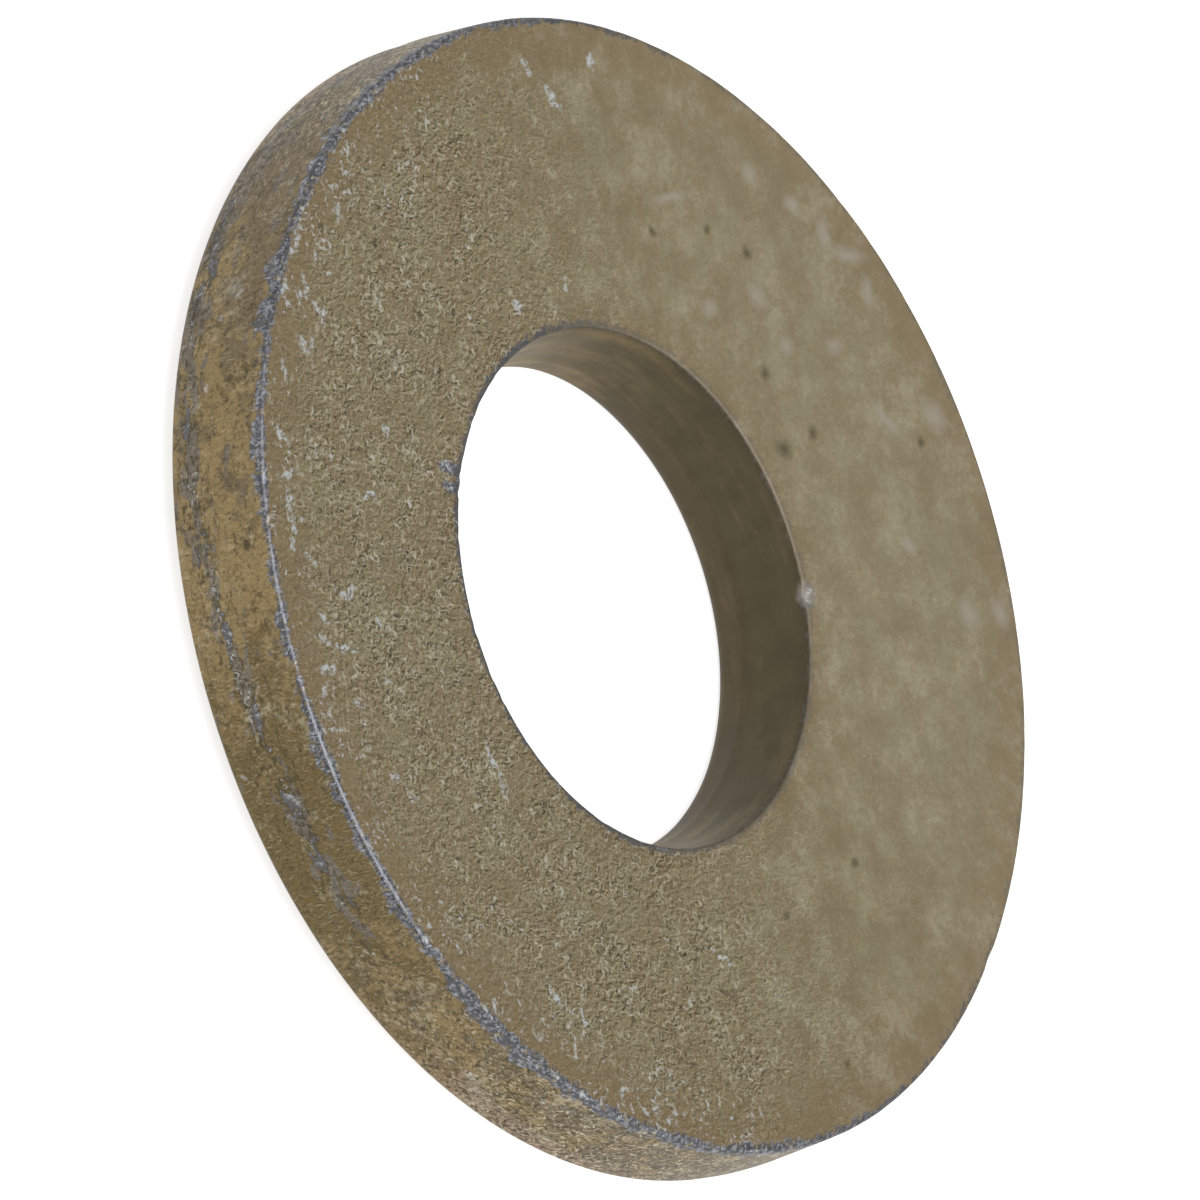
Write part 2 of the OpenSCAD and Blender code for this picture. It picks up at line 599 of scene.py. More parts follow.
def add(tree, kind, inputs=None, output=None, **settings):
    """Adds a node with its settings, and gives its inputs values or links.

    The kinds of shader nodes are written without "ShaderNode". An input is named, or numbered
    where names repeat. Returns the output that is named, or else the first one in use.
    """
    node = tree.nodes.new(kind if kind == "NodeGroupOutput" else "ShaderNode" + kind)
    for name, value in settings.items():
        setattr(node, name, value)
    for key, value in (inputs or {}).items():
        if isinstance(key, int):
            socket = node.inputs[key]
        else:
            socket = next(s for s in node.inputs if s.enabled and s.name == key)
        if isinstance(value, bpy.types.NodeSocket):
            tree.links.new(value, socket)
        else:
            socket.default_value = value
    used = [s for s in node.outputs if s.enabled]
    return next(s for s in used if output in (None, s.name)) if used else node


def ramp(value, start=0.0, end=1.0, least=0.0, most=1.0):
    """Inputs of a Map Range node that goes from least, for the value start, to most, for end."""
    return {"Value": value, "From Min": start, "From Max": end, "To Min": least, "To Max": most}


def cover(tree, value, others, start, end, least=0.0, most=1.0):
    """How much of a layer covers each place: a ramp over a value plus a weighted sum of others."""
    for other, weight in others.items():
        value = add(tree, "Math", {0: other, 1: weight, 2: value}, operation="MULTIPLY_ADD")
    return add(tree, "MapRange", ramp(value, start, end, least, most))


def off_level(tree, value, level):
    """How far a value is from a level, above or below it."""
    value = add(tree, "Math", {0: value, 1: level}, operation="SUBTRACT")
    return add(tree, "Math", {0: value}, operation="ABSOLUTE")


def layered(tree, film, layers):
    """A film under a stack of layers, each the share of a place that it covers and its colour."""
    for share, colour_above in layers:
        film = add(tree, "Mix", {"Factor": share, "A": film, "B": colour_above}, data_type="RGBA")
    return film


def three_noises(tree, vector, size, inputs):
    """Three unrelated noises, whose features have this size in millimetres."""
    inputs = {"Vector": vector, "Scale": 1 / size, **inputs}
    noises = add(tree, "TexNoise", inputs, "Color")
    return add(tree, "SeparateColor", {"Color": noises}).node.outputs


def add_place_group(sizes):
    """A group that tells where on the washer a point lies, in millimetres.

    Past Rim Edge and Past Hole Edge are distances from the two upper edges, below zero on the
    hollow face and above it on the rim or in the hole. Above Ridge is the height over the ridge
    on the rim. Front is 1 on the side nearest to the camera and -1 on the far side, and Side is 1
    at the bottom of the picture and -1 at its top.
    """
    tree = bpy.data.node_groups.new("Place on the Washer", "ShaderNodeTree")
    tree.interface.new_socket("Point", in_out="OUTPUT", socket_type="NodeSocketVector")
    for name in ("Height", "Past Rim Edge", "Past Hole Edge", "Above Ridge", "Front", "Side"):
        tree.interface.new_socket(name, in_out="OUTPUT", socket_type="NodeSocketFloat")

    corner = section(sizes)[1]
    rim_edge = corner["rim_top"] / MM
    hole_edge = corner["hole_top"] / MM
    across = (rim_edge - hole_edge).normalized()

    place = add(tree, "TexCoord", output="Object")
    point = add(tree, "VectorMath", {0: place, "Scale": 1 / MM}, operation="SCALE")
    x, y, height = add(tree, "SeparateXYZ", {0: point}).node.outputs
    flat = add(tree, "CombineXYZ", {"X": x, "Y": y})
    radius = add(tree, "VectorMath", {0: flat}, "Value", operation="LENGTH")
    in_section = add(tree, "CombineXYZ", {"X": radius, "Y": height})

    # The section leans, so both distances are measured along and across the sheet
    past = {}
    for name, edge, sign in (("Past Rim Edge", rim_edge, 1), ("Past Hole Edge", hole_edge, -1)):
        from_edge = add(tree, "VectorMath", {0: in_section, 1: (*edge, 0)}, operation="SUBTRACT")
        direction = (sign * across.x + across.y, sign * across.y - across.x, 0)
        past[name] = add(
            tree, "VectorMath", {0: from_edge, 1: direction}, "Value", operation="DOT_PRODUCT"
        )

    angle = add(tree, "Math", {0: y, 1: x}, operation="ARCTAN2")
    turned = add(
        tree, "Math", {0: angle, 1: sizes.ridge_waves, 2: sizes.ridge_turn}, operation="MULTIPLY_ADD"
    )
    wave = add(tree, "Math", {0: turned}, operation="COSINE")
    above_mean = add(tree, "Math", {0: height, 1: sizes.ridge_height / MM}, operation="SUBTRACT")
    above_ridge = add(
        tree, "Math", {0: wave, 1: sizes.ridge_wander / MM, 2: above_mean}, operation="MULTIPLY_ADD"
    )
    outward = add(tree, "VectorMath", {0: flat}, operation="NORMALIZE")
    front, side = (
        add(tree, "VectorMath", {0: outward, 1: way}, "Value", operation="DOT_PRODUCT")
        for way in ((0, -1, 0), (1, 0, 0))
    )
    values = {"Height": height, "Above Ridge": above_ridge, "Front": front, "Side": side}
    add(tree, "NodeGroupOutput", {"Point": point, **values, **past})
    return tree


def on_face(sizes, degrees, radius):
    """The point of the hollow face at an angle in degrees and a radius in millimetres."""
    corner = section(sizes)[1]
    start = corner["hole_top"] / MM
    across = corner["rim_top"] / MM - start
    height = start.y + (radius - start.x) / across.x * across.y
    turn = math.radians(degrees)
    return Vector((radius * math.cos(turn), radius * math.sin(turn), height))


def on_rim(sizes, degrees, height):
    """The point of the rim at an angle in degrees and a height in millimetres."""
    radius = sizes.outer_diameter / 2 / MM
    turn = math.radians(degrees)
    return Vector((radius * math.cos(turn), radius * math.sin(turn), height))


def marked(tree, sizes, point, marks, place):
    """How deep a point lies in the nearest of these marks: 1 in the mark's middle and 0 outside."""
    deepest = None
    for start, end, width in marks:
        start = place(sizes, *start)
        end = place(sizes, *end)
        along = end - start
        shape = {
            "Location": (start + end) / 2,
            "Rotation": along.to_track_quat("X", "Z").to_euler(),
            "Scale": (along.length / 2 + width, width, width),
        }
        inside = add(tree, "Mapping", {"Vector": point, **shape}, vector_type="TEXTURE")
        mark = add(tree, "TexGradient", {"Vector": inside}, "Fac", gradient_type="SPHERICAL")
        if deepest:
            mark = add(tree, "Math", {0: deepest, 1: mark}, operation="MAXIMUM")
        deepest = mark
    return deepest


def values_here(tree, sizes):
    """What the layers of the finish share: where a point lies on the washer, and noises there."""
    place = add(tree, "Group", node_tree=add_place_group(sizes)).node.outputs
    here = SimpleNamespace(
        point=place["Point"],
        height=place["Height"],
        past_rim=place["Past Rim Edge"],
        past_hole=place["Past Hole Edge"],
        above_ridge=place["Above Ridge"],
        front=place["Front"],
        side=place["Side"],
    )
    here.sideways = add(tree, "Math", {0: here.side}, operation="ABSOLUTE")
    here.on_wall = add(tree, "MapRange", ramp(here.past_rim, -0.02, 0.06))
    here.in_hole = add(tree, "MapRange", ramp(here.past_hole, 0.0, 0.1))

    # Patches of the film, and flecks in it
    here.blotch, here.cluster, here.gap = three_noises(
        tree, here.point, PATCH, {"Detail": 3.0, "Roughness": 0.65}
    )
    here.ragged, here.speck, here.fleck = three_noises(
        tree, here.point, FLECK, {"Detail": 2.0, "Roughness": 0.6}
    )
    here.uneven = add(tree, "MapRange", ramp(here.cluster, 0.4, 0.6, least=0.65, most=1.1))

    # Towards the near side the photograph is sharper, and the pattern crisper
    here.toward = add(tree, "VectorMath", {0: here.point, 1: NEARER}, "Value", operation="DOT_PRODUCT")
    here.crisp = add(tree, "MapRange", ramp(here.toward, -5.0, 2.5, least=0.2))

    # The grain is drawn out along the rolling direction on the faces, and into fibres on the rim
    along = add(tree, "Math", {0: here.blotch, 1: 0.3, 2: here.sideways}, operation="MULTIPLY_ADD")
    along = add(tree, "Math", {0: along, 1: 0.8}, operation="GREATER_THAN")
    sheared = add(tree, "Math", {0: here.past_rim, 1: 0.02}, operation="GREATER_THAN")
    fibres = add(
        tree,
        "Mix",
        {"Factor": along, "A": FIBRES_UP_THE_RIM, "B": FIBRES_ROUND_THE_RIM},
        data_type="VECTOR",
    )
    drawn = add(tree, "Mix", {"Factor": sheared, "A": ROLLED_GRAIN, "B": fibres}, data_type="VECTOR")
    drawn = add(tree, "VectorMath", {0: here.point, 1: drawn}, operation="MULTIPLY")

    # Its slope is the difference of one noise at two places close together. Colouring by it paints
    # shade on one side of each grain and highlight on the other
    beside = add(tree, "VectorMath", {0: drawn, 1: (0.04, 0.02, 0)}, operation="ADD")
    grain = {"Scale": 1 / GRAIN, "Detail": 2.0, "Roughness": 0.6, "Distortion": 1.0}
    here.grain, grain_beside = (
        add(tree, "TexNoise", {"Vector": at, **grain}) for at in (drawn, beside)
    )
    here.slope = add(tree, "Math", {0: here.grain, 1: grain_beside}, operation="SUBTRACT")

    # Curled strokes in it are the level lines of two warped noises
    *curls, here.smudge = three_noises(tree, drawn, CURL, {"Detail": 1.0, "Distortion": 1.0})
    here.from_curls = [off_level(tree, curl, 0.5) for curl in curls]

    # The ridge on the rim, which fades away at the bottom of the picture, and smears along it
    from_ridge = add(tree, "Math", {0: here.above_ridge}, operation="ABSOLUTE")
    from_ridge = add(tree, "MapRange", ramp(from_ridge, 0.75, 0.0))
    ridged = add(tree, "MapRange", ramp(here.side, 0.8, 0.5))
    here.by_ridge = add(tree, "Math", {0: from_ridge, 1: ridged}, operation="MULTIPLY")
    here.on_ridge = add(tree, "Math", {0: here.by_ridge, 1: here.on_wall}, operation="MULTIPLY")
    smeared = add(tree, "VectorMath", {0: here.point, 1: (0.6, 0.6, 1.6)}, operation="MULTIPLY")
    here.smear, here.island, here.border = three_noises(
        tree, smeared, SMEAR, {"Detail": 3.0, "Roughness": 0.65}
    )

    # The part of the rim in front, where its edge is rubbed most
    here.rubbed = cover(tree, here.front, {here.side: 0.12}, 0.82, 0.92)

    # Marks are drawn with a shaky hand: their place wanders by some tenths of a millimetre
    wander = add(tree, "TexNoise", {"Vector": here.point, "Scale": 1 / SHAKE, "Detail": 1.5}, "Color")
    wander = add(tree, "VectorMath", {0: wander, 1: (0.5, 0.5, 0.5)}, operation="SUBTRACT")
    here.nudged, here.shaken = (
        add(tree, "VectorMath", {0: wander, 1: (most,) * 3, 2: here.point}, operation="MULTIPLY_ADD")
        for most in (0.25, 0.6)
    )
    return here


def face_film_and_shading(tree, finish, here):
    """Olive film in broad mossy patches, browner near both edges, with dark and pale grain.

    The grain's slopes carry painted shade and painted highlight, and the far half is painted lighter.
    """
    broad = add(tree, "TexNoise", {"Vector": here.point, "Scale": 1 / BROAD_PATCH, "Detail": 2.0})
    # Moss patches, more of them towards the far side, which paints that side lighter as painted light
    moss_patches_and_far_light = cover(tree, broad, {here.front: -0.1, here.blotch: 0.4}, 0.55, 0.85)
    by_rim = add(tree, "Math", {0: here.blotch, 1: 3.0, 2: here.past_rim}, operation="MULTIPLY_ADD")
    by_rim = add(tree, "MapRange", ramp(by_rim, -1.2, 0.9), interpolation_type="SMOOTHSTEP")
    by_hole = add(tree, "MapRange", ramp(here.past_hole, -1.4, -0.1))
    tanned = add(tree, "MapRange", ramp(here.gap, 0.42, 0.66, most=0.8))
    for other in (by_hole, by_rim):
        tanned = add(tree, "Math", {0: tanned, 1: other}, operation="MAXIMUM")

    # The grain, rubbed smoother towards the rim: dark strokes and pale ones, with painted shade on
    # the slopes that fall one way and painted highlight on those that rise
    contrast = add(tree, "MapRange", ramp(by_rim, least=1.2, most=0.55))
    for other in (here.crisp, here.uneven):
        contrast = add(tree, "Math", {0: contrast, 1: other}, operation="MULTIPLY")
    grained = []
    for from_curl, speck, steepest in zip(here.from_curls, (here.speck, here.fleck), (-0.3, 0.38)):
        stroke = add(tree, "MapRange", ramp(from_curl, 0.06, 0.02, most=0.8))
        some = add(tree, "MapRange", ramp(speck, 0.46, 0.6))
        stroke = add(tree, "Math", {0: stroke, 1: some}, operation="MULTIPLY")
        slope_shading = add(tree, "MapRange", ramp(here.slope, end=steepest))
        slope_shading = add(tree, "Math", {0: slope_shading, 1: stroke}, operation="MAXIMUM")
        grained.append(add(tree, "Math", {0: slope_shading, 1: contrast}, operation="MULTIPLY"))
    # Painted shade on the falling slopes, with dark strokes, then painted highlight on the rising
    # slopes, with pale strokes
    shade_and_dark_strokes, crests = grained

    # Soft dark and pale clouds take its place on the far half, and that half is painted lighter, as
    # painted light
    far = add(tree, "MapRange", ramp(here.toward, 2.5, -2.5))
    murky = add(tree, "Math", {0: here.speck, 1: 0.5, 2: here.cluster}, operation="MULTIPLY_ADD")
    clouds = []
    for start, end in ((0.76, 0.6), (0.78, 0.98)):
        cloud = add(tree, "MapRange", ramp(murky, start, end, most=0.35))
        clouds.append(add(tree, "Math", {0: cloud, 1: far}, operation="MULTIPLY"))
    far_side_light = add(tree, "MapRange", ramp(here.toward, 3.0, -10.0, most=0.18))

    layers = (
        (moss_patches_and_far_light, finish.moss),
        (tanned, finish.tan),
        (shade_and_dark_strokes, finish.soot_and_shade),
        (crests, finish.bloom_and_highlight),
        (clouds[0], finish.bronze),
        (clouds[1], finish.bloom_and_highlight),
        (far_side_light, finish.bloom_and_highlight),
    )
    return layered(tree, finish.olive, layers)


def rim_film_and_shading(tree, finish, here):
    """Golden film in front, dark film where the rim turns down the picture, pinkish at both ends,
    with painted shade and painted highlight on the slopes of its fibres.
    """
    golden = cover(tree, here.blotch, {here.front: 0.35, here.side: 0.12}, 0.73, 0.79)
    torn = add(tree, "MapRange", ramp(here.above_ridge, 0.1, -0.2))
    ends = add(tree, "MapRange", ramp(here.front, 0.75, 0.45))
    torn = add(tree, "Math", {0: torn, 1: ends}, operation="MULTIPLY")
    from_turn = off_level(tree, here.side, 0.42)
    dark = cover(tree, here.gap, {from_turn: -0.9}, 0.24, 0.32)
    darker = add(tree, "MapRange", ramp(from_turn, 0.4, 0.2, most=0.38))
    dark = add(tree, "Math", {0: dark, 1: darker}, operation="MAXIMUM")

    # Greyish smears, most of them along the ridge
    smoky = cover(tree, here.smear, {here.by_ridge: 0.17, here.side: -0.06}, 0.61, 0.66, most=0.8)

    # The fibres are painted light and shade: painted shade on their shaded slopes, and painted
    # highlight with pale dabs on their lit ones. They are coarse at both ends and faint in front
    rough = add(tree, "MapRange", ramp(here.front, 0.9, 0.5, least=0.65, most=1.3))
    coarse = add(tree, "MapRange", ramp(here.sideways, 0.7, 0.95, most=1.7))
    rough = add(tree, "Math", {0: rough, 1: coarse}, operation="ADD")
    rough = add(tree, "Math", {0: rough, 1: here.uneven}, operation="MULTIPLY")
    grained = []
    for start, end in ((-0.01, -0.22), (0.04, 0.4)):
        slope_shading = add(tree, "MapRange", ramp(here.slope, start, end))
        grained.append(add(tree, "Math", {0: slope_shading, 1: rough}, operation="MULTIPLY"))
    shaded, lit = grained
    dabs = cover(tree, here.cluster, {here.fleck: 0.7}, 0.92, 1.1, most=0.45)
    lit = add(tree, "Math", {0: lit, 1: dabs}, operation="MAXIMUM")

    # Dirt: soft spots, and broken seams along the borders of patches
    spots = cover(tree, here.gap, {here.speck: 0.8}, 0.82, 0.62, most=0.9)
    seams = off_level(tree, here.border, 0.5)
    seams = cover(tree, seams, {here.by_ridge: -0.03}, 0.035, 0.0, most=0.9)
    whole = add(tree, "MapRange", ramp(here.ragged, 0.4, 0.6))
    seams = add(tree, "Math", {0: seams, 1: whole}, operation="MULTIPLY")
    dirt = add(tree, "Math", {0: spots, 1: seams}, operation="MAXIMUM")

    layers = (
        (golden, finish.gold_and_highlight),
        (torn, finish.rose),
        (dark, finish.bronze),
        (smoky, finish.smoke),
        (shaded, finish.soot_and_shade),
        (lit, finish.bloom_and_highlight),
        (dirt, finish.soot_and_shade),
    )
    return layered(tree, finish.umber, layers)


def hole_film_and_shading(tree, finish, here):
    """Dull film, painted darker for the shade inside the hole, with soft streaks round the hole,
    another tone on its sheared land, and grime, with a painted shadow under the upper edge and
    painted highlight at both ends.
    """
    banded = add(tree, "VectorMath", {0: here.point, 1: (0.35, 0.35, 2.5)}, operation="MULTIPLY")
    bands = add(tree, "TexNoise", {"Vector": banded, "Scale": 1 / STREAK, "Detail": 3.0})
    land = cover(tree, here.height, {bands: -0.6}, 1.25, 1.0)
    streaks = cover(tree, bands, {here.fleck: 0.3}, 0.66, 0.95, most=0.6)
    # Painted highlight on the wall at both ends of the hole, in gold
    highlight_at_ends = cover(tree, here.sideways, {bands: 0.5}, 1.1, 1.3, most=0.7)
    grime_and_shade = add(tree, "MapRange", ramp(here.blotch, 0.55, 0.35, most=0.35))
    # Painted shadow on the wall just under the hole's upper edge, ragged, mixed with the grime
    shade_under_edge = cover(tree, here.past_hole, {here.ragged: 0.6}, 0.8, 0.3, most=0.5)
    grime_and_shade = add(tree, "Math", {0: grime_and_shade, 1: shade_under_edge}, operation="MAXIMUM")

    layers = (
        (land, finish.land),
        (streaks, finish.umber),
        (highlight_at_ends, finish.gold_and_highlight),
        (grime_and_shade, finish.soot_and_shade),
    )
    return layered(tree, finish.shade, layers)


def islands(tree, here):
    """Islands of bare zinc along the ridge on the rim. Returns the skirts of dirt round them too."""
    height = here.island
    for other, weight in ((here.on_ridge, 0.3), (here.side, 0.03), (here.ragged, 0.3)):
        height = add(tree, "Math", {0: other, 1: weight, 2: height}, operation="MULTIPLY_ADD")
    shares = []
    for start, end, most in ((0.91, 0.95, 0.85), (0.96, 1.0, 1.0)):
        share = add(tree, "MapRange", ramp(height, start, end, most=most))
        shares.append(add(tree, "Math", {0: share, 1: here.on_wall}, operation="MULTIPLY"))
    return shares


def rim_band(tree, sizes, here):
    """The bare band along the rim's upper edge, ragged, narrow in front and wide at both ends."""
    ring = add(tree, "CombineXYZ", {"X": here.side, "Y": here.front})
    scale = sizes.outer_diameter / 2 / (SWELL * MM)
    swell = add(tree, "TexNoise", {"Vector": ring, "Scale": scale, "Detail": 2.0, "Roughness": 0.6})
    lower = add(tree, "MapRange", ramp(swell, 0.42, 0.68, least=0.18, most=0.48))
    lower = add(tree, "Math", {0: here.rubbed, 1: -0.12, 2: lower}, operation="MULTIPLY_ADD")
    upper = add(tree, "MapRange", ramp(here.rubbed, least=-0.18, most=-0.1))
    below = add(tree, "Math", {0: here.past_rim, 1: lower}, operation="SUBTRACT")
    above = add(tree, "Math", {0: upper, 1: here.past_rim}, operation="SUBTRACT")
    outside = add(tree, "Math", {0: below, 1: above}, operation="MAXIMUM")
    others = {here.ragged: -0.5, here.gap: -0.7, here.crisp: -0.1}
    band = cover(tree, outside, others, -0.58, -0.68)
    kept = cover(tree, here.fleck, {here.smudge: 0.6}, 0.96, 0.86, least=0.3)
    fading = add(tree, "MapRange", ramp(here.toward, -12.0, -4.0, least=0.3))
    for other in (kept, fading):
        band = add(tree, "Math", {0: band, 1: other}, operation="MULTIPLY")
    return band


def crest(tree, here):
    """The crest of rubbed zinc on the front of the rim's upper edge, with breaks in it."""
    from_edge = add(tree, "Math", {0: here.ragged, 1: 0.12, 2: here.past_rim}, operation="MULTIPLY_ADD")
    from_edge = off_level(tree, from_edge, 0.03)
    line = add(tree, "MapRange", ramp(from_edge, 0.08, 0.02))
    whole = add(tree, "MapRange", ramp(here.gap, 0.36, 0.5))
    bright = add(tree, "MapRange", ramp(here.speck, 0.35, 0.6, least=0.45))
    for other in (whole, bright, here.rubbed):
        line = add(tree, "Math", {0: line, 1: other}, operation="MULTIPLY")
    return line


def hole_line(tree, here):
    """The worn line on the hole's upper edge, ragged on the near side and fine on the far one.

    Returns how near its places are too.
    """
    near = add(tree, "MapRange", ramp(here.front, -0.3, 0.3))
    from_edge = add(tree, "Math", {0: near, 1: 0.08, 2: here.past_hole}, operation="MULTIPLY_ADD")
    from_edge = add(tree, "Math", {0: from_edge}, operation="ABSOLUTE")
    return cover(tree, from_edge, {here.ragged: -0.6}, -0.11, -0.23, most=0.9), near


def scuffs(tree, sizes, here):
    """Pale scuffs: curls and crumbs in clusters, mostly near the rim in front, and larger marks."""
    outskirts = add(tree, "MapRange", ramp(here.past_rim, -3.0, -1.0, most=0.06))
    others = {outskirts: 1.0, here.fleck: 0.35, here.on_wall: -0.2, here.on_ridge: 0.3}
    clustered = cover(tree, here.cluster, others, 0.76, 0.9, most=0.85)
    curls = add(tree, "MapRange", ramp(here.from_curls[1], 0.04, 0.015))
    bits = add(tree, "MapRange", ramp(here.ragged, 0.45, 0.58))
    for other in (clustered, bits):
        curls = add(tree, "Math", {0: curls, 1: other}, operation="MULTIPLY")
    sharp = add(tree, "MapRange", ramp(here.toward, -2.0, 4.0))
    others = {outskirts: 1.0, here.cluster: 0.4, here.on_wall: -0.15}
    crumbs = cover(tree, here.fleck, others, 0.89, 0.97, most=0.85)
    crumbs = add(tree, "Math", {0: crumbs, 1: sharp}, operation="MULTIPLY")
    small = add(tree, "Math", {0: curls, 1: crumbs}, operation="MAXIMUM")
    small = add(tree, "Math", {0: small, 1: sharp}, operation="MULTIPLY")

    on_face_marks = marked(tree, sizes, here.shaken, PALE_MARKS, on_face)
    on_rim_marks = marked(tree, sizes, here.nudged, RIM_MARKS, on_rim)
    on_rim_marks = add(tree, "Math", {0: on_rim_marks, 1: 0.5}, operation="MULTIPLY")
    large = add(tree, "Math", {0: on_face_marks, 1: on_rim_marks}, operation="MAXIMUM")
    large = add(tree, "MapRange", ramp(large, end=0.5))
    frayed = cover(tree, here.ragged, {here.slope: 0.8}, 0.38, 0.58, least=0.1)
    large = add(tree, "Math", {0: large, 1: frayed}, operation="MULTIPLY")
    both = add(tree, "Math", {0: small, 1: large}, operation="MAXIMUM")
    outside = add(tree, "Math", {0: 1.0, 1: here.in_hole}, operation="SUBTRACT")
    return add(tree, "Math", {0: both, 1: outside}, operation="MULTIPLY")


def passivated_zinc(sizes, finish):
    """Yellow-passivated zinc on blanked spring steel.

    The film is a matt, grained skin, olive and tan on the rolled faces, golden and fibrous on the
    sheared rim and dull in the hole. It is gone from the edges, from the ridge on the rim and from
    the knocks, where mottled grey zinc shows, and pale scuffs lie mostly by the rim. The colour also
    holds painted shade and painted highlight on the slopes of the grain, painted shade inside the
    hole with a painted shadow under its upper edge, painted highlight at both ends of the hole and
    painted light on the far half of the face.
    """
    material = bpy.data.materials.new("Yellow-passivated zinc")
    tree = empty_nodes(material)
    here = values_here(tree, sizes)

    # Bare zinc is mottled dark and bright, partly after the grain's slope, which paints shade and
    # highlight on it, dusty along the ridge, and plain in the hole's worn line
    line, near = hole_line(tree, here)
    others = {here.slope: 1.2, here.on_wall: -0.07, here.on_ridge: -0.12}
    bright = cover(tree, here.ragged, others, 0.4, 0.8)
    bright = add(tree, "Math", {0: bright, 1: here.crisp}, operation="MULTIPLY")
    dusty = add(tree, "Math", {0: here.on_ridge, 1: 0.35}, operation="MULTIPLY")
    line_film = layered(tree, finish.smoke, [(near, finish.slate)])
    layers = (bright, finish.rubbed), (dusty, finish.smoke), (line, line_film)
    zinc = layered(tree, finish.slate, layers)

    # It shows in islands, along both upper edges and in the knocks
    skirts, worn = islands(tree, here)
    faint = add(tree, "MapRange", ramp(near, least=0.55))
    line = add(tree, "Math", {0: line, 1: faint}, operation="MULTIPLY")
    knocks = marked(tree, sizes, here.nudged, BARE_MARKS, on_face)
    knocks = add(tree, "MapRange", ramp(knocks, end=0.4))
    for other in (rim_band(tree, sizes, here), line, knocks):
        worn = add(tree, "Math", {0: worn, 1: other}, operation="MAXIMUM")

    sooty = marked(tree, sizes, here.nudged, DARK_MARKS, on_face)
    sooty = add(tree, "MapRange", ramp(sooty, end=0.9, most=0.7))
    hazy = marked(tree, sizes, here.nudged, HAZY_MARKS, on_face)
    hazy = add(tree, "MapRange", ramp(hazy, end=0.8, most=0.85))

    # From the film up to the scuffs, each layer covers those before it
    layers = (
        (here.on_wall, rim_film_and_shading(tree, finish, here)),
        (here.in_hole, hole_film_and_shading(tree, finish, here)),
        (skirts, finish.soot_and_shade),
        (worn, zinc),
        (sooty, finish.soot_and_shade),
        (hazy, finish.haze),
        (crest(tree, here), finish.rubbed),
        (scuffs(tree, sizes, here), finish.scuffed),
    )
    coat = layered(tree, face_film_and_shading(tree, finish, here), layers)

    relief = add(tree, "Math", {0: here.grain, 1: here.crisp}, operation="MULTIPLY")
    bump = add(tree, "Bump", {"Height": relief, "Distance": GRAIN_DEPTH})
    surface = {
        "Base Color": coat,
        "Metallic": finish.metallic,
        "Roughness": finish.roughness,
        "Normal": bump,
    }
    add(tree, "OutputMaterial", {"Surface": add(tree, "BsdfPrincipled", surface)})
    return material


class WASHER_OT_add_washer(bpy.types.Operator):
    """Adds the washer, with its sheared, torn and worn edges, in yellow-passivated zinc"""

    bl_idname = "washer.add_washer"
    bl_label = "Add Washer"

    def execute(self, context):
        sizes = context.scene.washer_sizes
        washer = add_washer_mesh(sizes)
        washer.data.materials.append(passivated_zinc(sizes, context.scene.washer_finish))
        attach(washer, "root")
        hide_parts(WASHER_NODE)
        return {"FINISHED"}


# Studio


def add_sight(tree, unseen, seen):
    """One value for rays that light the scene, and another for those that look at it."""
    rays = add(tree, "LightPath").node.outputs
    look = rays["Is Camera Ray"]
    for name in ("Is Glossy Ray", "Is Transmission Ray"):
        look = add(tree, "Math", {0: look, 1: rays[name]}, operation="MAXIMUM")
    return add(tree, "MapRange", ramp(look, least=unseen, most=seen))


def add_floor(studio):
    """A matt, pale floor that is white to the camera and in reflections, and keeps the shadow."""
    side = studio.floor_size / 2
    data = bpy.data.meshes.new("floor")
    corners = [(-side, -side, 0), (side, -side, 0), (side, side, 0), (-side, side, 0)]
    data.from_pydata(corners, [], [(0, 1, 2, 3)])
    floor = add_object("floor", data)
    material = bpy.data.materials.new("Matt white paper")
    tree = empty_nodes(material)
    paper = add(tree, "BsdfDiffuse", {"Color": studio.floor_colour})
    glow = add_sight(tree, unseen=0.0, seen=FLOOR_GLOW)
    glow = add(tree, "Emission", {"Strength": glow})
    both = add(tree, "AddShader", {0: paper, 1: glow})
    add(tree, "OutputMaterial", {"Surface": both})
    data.materials.append(material)


def add_world():
    """Pale surroundings, white to the camera and in reflections."""
    world = bpy.data.worlds.new("Studio")
    bpy.context.scene.world = world
    tree = empty_nodes(world)
    strength = add_sight(tree, unseen=WORLD_LIGHT, seen=1.0)
    light = add(tree, "Background", {"Strength": strength})
    add(tree, "OutputWorld", {"Surface": light})


def add_lamp(studio, name, place, power):
    """A square soft box that points at the washer, placed as seen from the camera's side."""
    place = Matrix.Rotation(studio.azimuth, 3, "Z") @ Vector(place)
    data = bpy.data.lights.new(name, "AREA")
    data.size = SOFT_BOX_SIDE
    data.energy = power
    lamp = add_object(name, data)
    lamp.location = place
    lamp.rotation_euler = (-place).to_track_quat("-Z", "Y").to_euler()


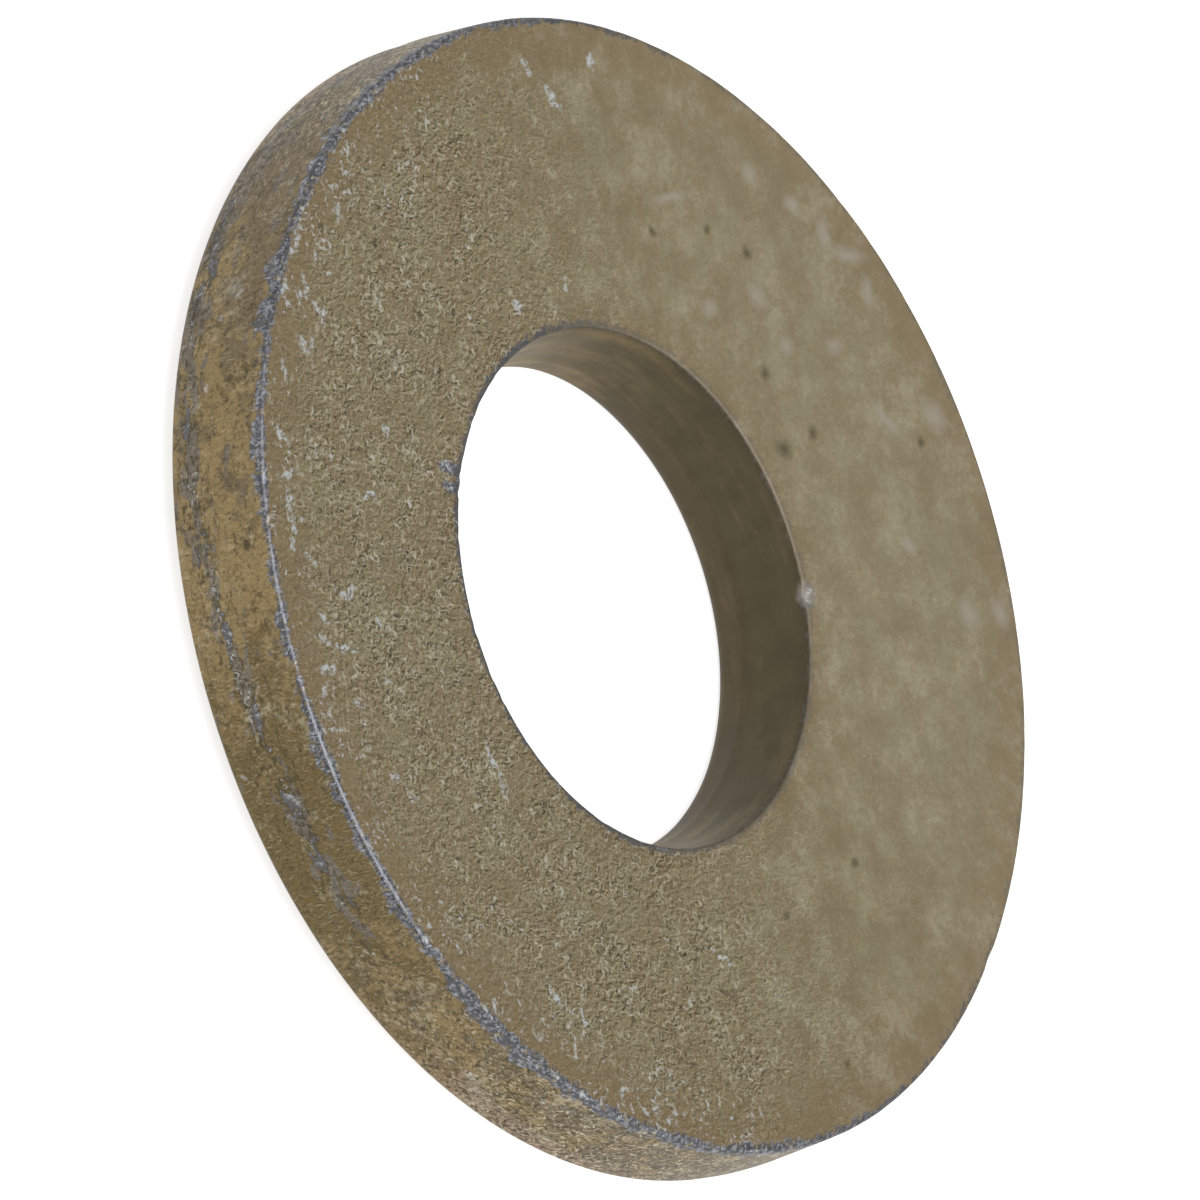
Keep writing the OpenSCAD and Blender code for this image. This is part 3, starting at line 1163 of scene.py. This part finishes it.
def add_camera(studio):
    """The photograph's camera: it looks down on the washer and is rolled on its side."""
    data = bpy.data.cameras.new("camera")
    data.lens = studio.focal_length
    data.sensor_width = 36
    data.clip_start = 0.01
    data.clip_end = 20
    camera = add_object("camera", data)
    swing = Matrix.Rotation(studio.azimuth, 4, "Z")
    tilt = Matrix.Rotation(math.pi / 2 - studio.elevation, 4, "X")
    roll = Matrix.Rotation(studio.roll, 4, "Z")
    turn = swing @ tilt @ roll
    offset = Vector((*PICTURE_SHIFT, studio.distance))
    camera.matrix_world = Matrix.Translation(WASHER_MIDDLE + turn @ offset) @ turn
    bpy.context.scene.camera = camera


class WASHER_OT_add_studio(bpy.types.Operator):
    """Adds the floor, the soft light and the camera"""

    bl_idname = "washer.add_studio"
    bl_label = "Add Studio"

    def execute(self, context):
        studio = context.scene.studio_settings
        add_floor(studio)
        add_world()
        add_lamp(studio, "key_soft_box", place=(0.1, -0.35, 0.5), power=2.0)
        add_lamp(studio, "fill_soft_box", place=(0.5, 0.1, 0.3), power=0.6)
        add_camera(studio)
        context.scene.view_settings.view_transform = "Standard"
        return {"FINISHED"}


class WASHER_PT_panel(bpy.types.Panel):
    """Lists the washer's operators and settings"""

    bl_label = "Spring Washer"
    bl_idname = "WASHER_PT_panel"
    bl_space_type = "VIEW_3D"
    bl_region_type = "UI"
    bl_category = "Washer"

    def draw(self, context):
        layout = self.layout
        scene = context.scene
        for settings in (scene.washer_sizes, scene.washer_finish, scene.studio_settings):
            for name in settings.__annotations__:
                layout.prop(settings, name)
        layout.operator(WASHER_OT_add_washer.bl_idname)
        layout.operator(WASHER_OT_add_studio.bl_idname)


CLASSES = (
    WasherSizes,
    WasherFinish,
    StudioSettings,
    WASHER_OT_add_washer,
    WASHER_OT_add_studio,
    WASHER_PT_panel,
)


def register():
    for cls in CLASSES:
        bpy.utils.register_class(cls)
    bpy.types.Scene.washer_sizes = PointerProperty(type=WasherSizes)
    bpy.types.Scene.washer_finish = PointerProperty(type=WasherFinish)
    bpy.types.Scene.studio_settings = PointerProperty(type=StudioSettings)


def unregister():
    del bpy.types.Scene.studio_settings
    del bpy.types.Scene.washer_finish
    del bpy.types.Scene.washer_sizes
    for cls in reversed(CLASSES):
        bpy.utils.unregister_class(cls)


def main():
    register()
    bpy.ops.washer.add_washer()
    bpy.ops.washer.add_studio()


if __name__ == "__main__":
    main()
